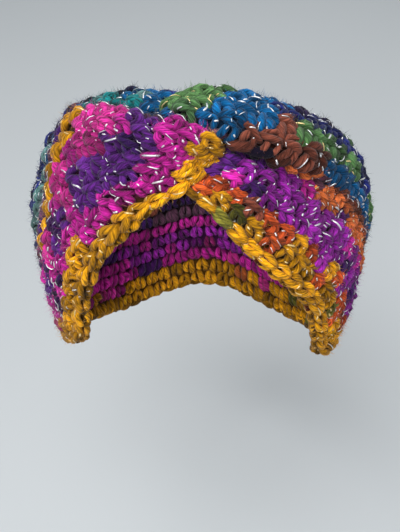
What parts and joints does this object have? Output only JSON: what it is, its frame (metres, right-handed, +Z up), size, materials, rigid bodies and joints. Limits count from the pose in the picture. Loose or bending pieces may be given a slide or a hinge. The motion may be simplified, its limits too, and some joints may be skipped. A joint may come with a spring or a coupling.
{
  "type": "crochet twist headband",
  "caption": "Wide crocheted ear-warmer headband with a hooked twist at the front, shaped as worn on a head.",
  "frame": {"origin": "middle of the head hollow, at the height of the brow, where the head sits in the band", "axes": "+Z up through the crown of the head, -Y towards the face and the twist, +X towards the right of the front view"},
  "size_m": [0.1772, 0.1814, 0.2161],
  "materials": {
    "crochet_wool": "thick fuzzy self-striping yarn with a metallic filament",
    "sewing_yarn": "matt wool"
  },
  "bodies": {
    "root": {"band": "crochet_wool", "seam_yarn": "sewing_yarn"}
  },
  "joints": []
}
